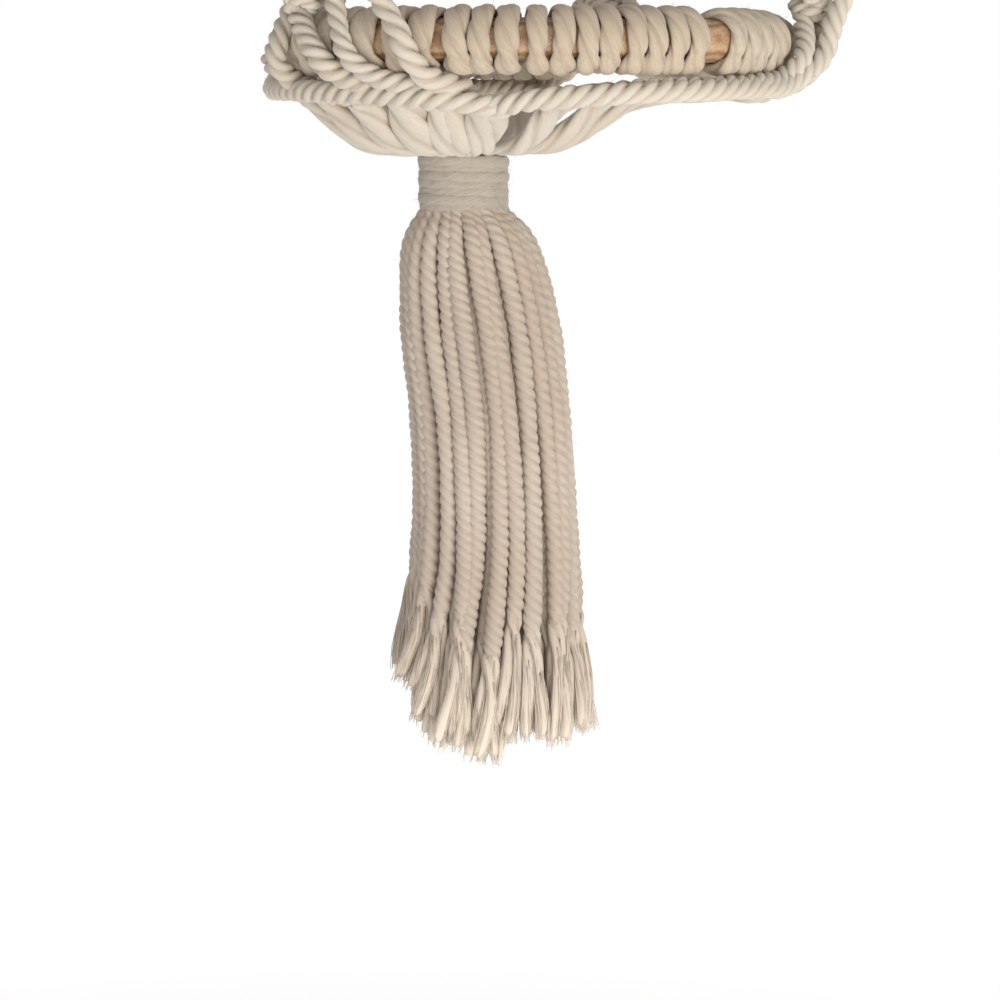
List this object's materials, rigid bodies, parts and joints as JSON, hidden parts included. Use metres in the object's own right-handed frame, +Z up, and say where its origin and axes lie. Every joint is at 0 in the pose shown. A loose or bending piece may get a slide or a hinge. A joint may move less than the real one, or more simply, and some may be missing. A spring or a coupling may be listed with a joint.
{
  "type": "macrame plant hanger with a wooden base ring",
  "caption": "Hanging net of knotted cotton cord for a plant pot, with a loop at its top, a wrapped wooden ring at its base and a tassel under it.",
  "frame": {"origin": "the point of the top loop that bears on a hook, at the top of the loop's hole", "axes": "+Z up, +X to the right in the front view, +Y to the back"},
  "size_m": [0.1056, 0.1018, 0.7441],
  "materials": {
    "cotton_cord": "matte twisted cotton",
    "cotton_winding": "matte hairy cotton",
    "cotton_strands": "matte loose cotton",
    "ring_wood": "satin turned wood"
  },
  "bodies": {
    "root": {"hanging_loop": "cotton_cord", "top_wrap": "cotton_winding", "arm_right": "cotton_cord", "arm_back": "cotton_cord", "arm_left": "cotton_cord", "arm_front": "cotton_cord", "net_right_back": "cotton_cord", "net_back_left": "cotton_cord", "net_left_front": "cotton_cord", "net_front_right": "cotton_cord", "base_ring": "ring_wood", "ring_wrap_front": "cotton_winding", "ring_wrap_right": "cotton_winding", "ring_wrap_back_right": "cotton_winding", "ring_wrap_back": "cotton_winding", "ring_wrap_left": "cotton_winding", "cradle": "cotton_strands", "gather_wrap": "cotton_winding", "tassel": "cotton_strands"}
  },
  "joints": []
}
